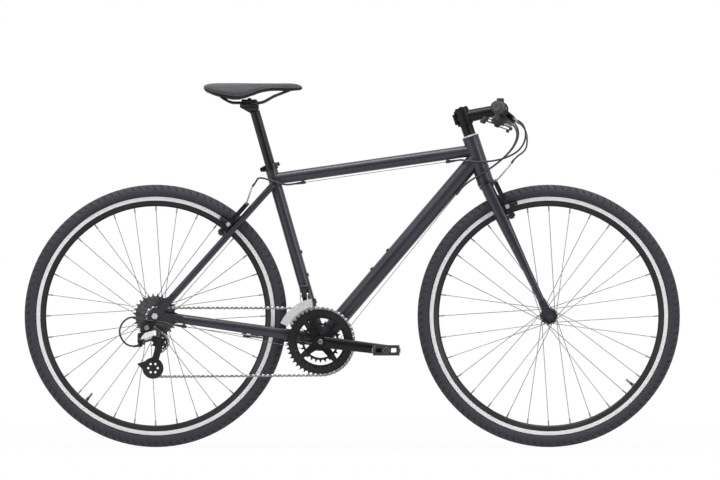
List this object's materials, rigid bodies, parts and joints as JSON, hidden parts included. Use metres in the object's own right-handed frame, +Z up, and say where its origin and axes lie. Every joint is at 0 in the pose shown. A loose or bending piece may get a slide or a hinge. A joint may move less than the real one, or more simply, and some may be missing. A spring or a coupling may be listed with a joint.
{
  "type": "hybrid bike",
  "caption": "Flat-bar hybrid bicycle with rigid fork, rim brakes, triple crank and derailleur gears; steers, rolls, pedals, shifts, brakes and adjusts its saddle.",
  "frame": {"origin": "on the floor, midway between the two wheel axles, in the bike's middle plane", "axes": "+X forward, +Y to the rider's left, +Z up; the drive side is at -Y"},
  "size_m": [1.7427, 0.6164, 0.967],
  "materials": {
    "frame_paint": "satin",
    "headset_grey": "satin",
    "black_alloy": "anodised black",
    "black_plastic": "matte",
    "black_steel": "black plated",
    "silver_alloy": "polished",
    "bright_steel": "bright",
    "tread_rubber": "matte",
    "grip_rubber": "matte",
    "saddle_cover": "satin",
    "cable_housing": "gloss"
  },
  "bodies": {
    "frame": {"head_tube": "frame_paint", "top_tube": "frame_paint", "down_tube": "frame_paint", "seat_tube": "frame_paint", "bb_shell": "frame_paint", "rear_stays": "frame_paint", "braze_ons": "frame_paint", "seat_collar": "black_alloy", "headset_cups": "headset_grey", "bottom_bracket": "black_steel", "rear_axle": "bright_steel", "frame_cables": "cable_housing", "front_derailleur_body": "silver_alloy", "rear_derailleur_body": "black_alloy", "control_cables": "cable_housing", "chain": "bright_steel"},
    "steering": {"fork": "frame_paint", "stem": "black_alloy", "handlebar": "black_alloy", "grips": "grip_rubber", "control_brackets": "black_plastic", "front_axle": "bright_steel", "front_brake_cable": "cable_housing"},
    "front_wheel": {"front_tyre": "tread_rubber", "front_rim": "black_alloy", "front_spokes": "bright_steel", "front_hub": "black_alloy"},
    "rear_wheel": {"rear_tyre": "tread_rubber", "rear_rim": "black_alloy", "rear_spokes": "bright_steel", "rear_hub": "black_alloy"},
    "cassette": {"cassette": "bright_steel"},
    "crankset": {"crank_arms": "black_alloy", "chainrings": "black_steel", "crank_spindle": "black_steel"},
    "right_pedal": {"right_pedal": "black_plastic"},
    "left_pedal": {"left_pedal": "black_plastic"},
    "rd_outer_link": {"rd_outer_link": "black_alloy"},
    "rd_inner_link": {"rd_inner_link": "black_alloy"},
    "rd_knuckle": {"rd_knuckle": "black_alloy"},
    "rd_cage": {"rd_cage": "black_alloy"},
    "guide_pulley": {"guide_pulley": "black_plastic"},
    "tension_pulley": {"tension_pulley": "black_plastic"},
    "fd_link": {"fd_link": "black_alloy"},
    "fd_cage": {"fd_cage": "silver_alloy"},
    "left_brake_lever": {"left_brake_lever": "black_alloy"},
    "right_brake_lever": {"right_brake_lever": "black_alloy"},
    "left_shift_lever": {"left_shift_lever": "black_plastic"},
    "right_shift_lever": {"right_shift_lever": "black_plastic"},
    "left_release_trigger": {"left_release_trigger": "black_plastic"},
    "right_release_trigger": {"right_release_trigger": "black_plastic"},
    "front_left_brake_arm": {"front_left_brake_arm": "black_alloy"},
    "front_right_brake_arm": {"front_right_brake_arm": "black_alloy"},
    "rear_left_brake_arm": {"rear_left_brake_arm": "black_alloy"},
    "rear_right_brake_arm": {"rear_right_brake_arm": "black_alloy"},
    "seat": {"seatpost": "black_alloy", "saddle_rails": "black_steel", "saddle": "saddle_cover"},
    "seat_qr_lever": {"seat_qr_lever": "silver_alloy"}
  },
  "joints": [
    {"name": "steer", "type": "hinge", "parent": "frame", "child": "steering", "pos_m": [0.35605, 0, 0.69992], "axis": [-0.3173, 0, 0.9483], "range_deg": [-75, 75], "deforming": ["control_cables"]},
    {"name": "front_wheel_spin", "type": "hinge", "parent": "steering", "child": "front_wheel", "pos_m": [0.5225, 0, 0.349], "axis": [0, 1, 0], "continuous": true},
    {"name": "rear_wheel_spin", "type": "hinge", "parent": "frame", "child": "rear_wheel", "pos_m": [-0.5225, 0, 0.349], "axis": [0, 1, 0], "continuous": true},
    {"name": "crank_spin", "type": "hinge", "parent": "frame", "child": "crankset", "pos_m": [-0.08407, 0, 0.2815], "axis": [0, 1, 0], "continuous": true, "deforming": ["chain"]},
    {"name": "cassette_spin", "type": "hinge", "parent": "frame", "child": "cassette", "pos_m": [-0.5225, 0, 0.349], "axis": [0, 1, 0], "continuous": true},
    {"name": "right_pedal_spin", "type": "hinge", "parent": "crankset", "child": "right_pedal", "pos_m": [0.08963, 0, 0.26017], "axis": [0, 1, 0], "continuous": true},
    {"name": "left_pedal_spin", "type": "hinge", "parent": "crankset", "child": "left_pedal", "pos_m": [-0.25776, 0, 0.30283], "axis": [0, 1, 0], "continuous": true},
    {"name": "rear_shift", "type": "hinge", "parent": "frame", "child": "rd_outer_link", "pos_m": [-0.555, -0.0855, 0.293], "axis": [0, 0.464, 0.8858], "range_deg": [0, 56.86], "stiffness_Nm_per_rad": 0.6},
    {"name": "rear_shift_inner", "type": "hinge", "parent": "frame", "child": "rd_inner_link", "pos_m": [-0.55371, -0.07315, 0.28653], "axis": [0, 0.464, 0.8858], "range_deg": [0, 56.86]},
    {"name": "rear_shift_knuckle", "type": "hinge", "parent": "rd_outer_link", "child": "rd_knuckle", "pos_m": [-0.52172, -0.10516, 0.3033], "axis": [0, 0.464, 0.8858], "range_deg": [-56.86, 0]},
    {"name": "cage_swing", "type": "hinge", "parent": "rd_knuckle", "child": "rd_cage", "pos_m": [-0.517, -0.062, 0.288], "axis": [0, -1, 0], "range_deg": [-15, 40], "stiffness_Nm_per_rad": 2},
    {"name": "guide_pulley_spin", "type": "hinge", "parent": "rd_cage", "child": "guide_pulley", "pos_m": [-0.50877, -0.062, 0.28023], "axis": [0, 1, 0], "continuous": true},
    {"name": "tension_pulley_spin", "type": "hinge", "parent": "rd_cage", "child": "tension_pulley", "pos_m": [-0.52762, -0.062, 0.21157], "axis": [0, 1, 0], "continuous": true},
    {"name": "front_shift", "type": "hinge", "parent": "frame", "child": "fd_link", "pos_m": [-0.12756, -0.0375, 0.42568], "axis": [1, 0, 0], "range_deg": [0, 39.86], "stiffness_Nm_per_rad": 0.6},
    {"name": "front_shift_cage", "type": "hinge", "parent": "fd_link", "child": "fd_cage", "pos_m": [-0.12756, -0.045, 0.405], "axis": [1, 0, 0], "range_deg": [-39.86, 0]},
    {"name": "left_brake_pull", "type": "hinge", "parent": "steering", "child": "left_brake_lever", "pos_m": [0.4155, 0.16694, 0.87453], "axis": [0.6403, 0.056, 0.766], "range_deg": [0, 15], "stiffness_Nm_per_rad": 1.5},
    {"name": "left_shift", "type": "hinge", "parent": "steering", "child": "left_shift_lever", "pos_m": [0.39228, 0.13881, 0.87067], "axis": [-0.3291, -0.0288, -0.9439], "range_deg": [0, 30], "stiffness_Nm_per_rad": 0.4},
    {"name": "left_release", "type": "hinge", "parent": "steering", "child": "left_release_trigger", "pos_m": [0.39228, 0.13881, 0.87067], "axis": [-0.3291, -0.0288, -0.9439], "range_deg": [0, 15], "stiffness_Nm_per_rad": 0.4},
    {"name": "right_brake_pull", "type": "hinge", "parent": "steering", "child": "right_brake_lever", "pos_m": [0.4155, -0.16694, 0.87453], "axis": [-0.6403, 0.056, -0.766], "range_deg": [0, 15], "stiffness_Nm_per_rad": 1.5},
    {"name": "right_shift", "type": "hinge", "parent": "steering", "child": "right_shift_lever", "pos_m": [0.39228, -0.13881, 0.87067], "axis": [0.3291, -0.0288, 0.9439], "range_deg": [0, 30], "stiffness_Nm_per_rad": 0.4},
    {"name": "right_release", "type": "hinge", "parent": "steering", "child": "right_release_trigger", "pos_m": [0.39228, -0.13881, 0.87067], "axis": [0.3291, -0.0288, 0.9439], "range_deg": [0, 15], "stiffness_Nm_per_rad": 0.4},
    {"name": "front_left_arm", "type": "hinge", "parent": "steering", "child": "front_left_brake_arm", "pos_m": [0.39938, 0.04068, 0.60603], "axis": [0.9019, 0, 0.432], "range_deg": [0, 3]},
    {"name": "front_right_arm", "type": "hinge", "parent": "steering", "child": "front_right_brake_arm", "pos_m": [0.39938, -0.04068, 0.60603], "axis": [-0.9019, 0, -0.432], "range_deg": [0, 3]},
    {"name": "rear_left_arm", "type": "hinge", "parent": "frame", "child": "rear_left_brake_arm", "pos_m": [-0.33326, 0.03862, 0.56059], "axis": [0.7454, 0, -0.6666], "range_deg": [0, 3]},
    {"name": "rear_right_arm", "type": "hinge", "parent": "frame", "child": "rear_right_brake_arm", "pos_m": [-0.33326, -0.03862, 0.56059], "axis": [-0.7454, 0, 0.6666], "range_deg": [0, 3]},
    {"name": "seat_height", "type": "slide", "parent": "frame", "child": "seat", "axis": [-0.2756, 0, 0.9613], "range_m": [-0.1, 0.07]},
    {"name": "seat_clamp", "type": "hinge", "parent": "frame", "child": "seat_qr_lever", "pos_m": [-0.2399, 0.0155, 0.73824], "axis": [-0.2756, 0, 0.9613], "range_deg": [0, 150]}
  ],
  "couplings": [
    {"joint": "cassette_spin", "follows": "crank_spin", "ratio": 4},
    {"joint": "guide_pulley_spin", "follows": "crank_spin", "ratio": -4},
    {"joint": "tension_pulley_spin", "follows": "crank_spin", "ratio": 4},
    {"joint": "rear_shift_inner", "follows": "rear_shift", "ratio": 1},
    {"joint": "rear_shift_knuckle", "follows": "rear_shift", "ratio": -1},
    {"joint": "front_shift_cage", "follows": "front_shift", "ratio": -1},
    {"joint": "front_left_arm", "follows": "left_brake_pull", "ratio": 0.2},
    {"joint": "front_right_arm", "follows": "left_brake_pull", "ratio": 0.2},
    {"joint": "rear_left_arm", "follows": "right_brake_pull", "ratio": 0.2},
    {"joint": "rear_right_arm", "follows": "right_brake_pull", "ratio": 0.2}
  ]
}
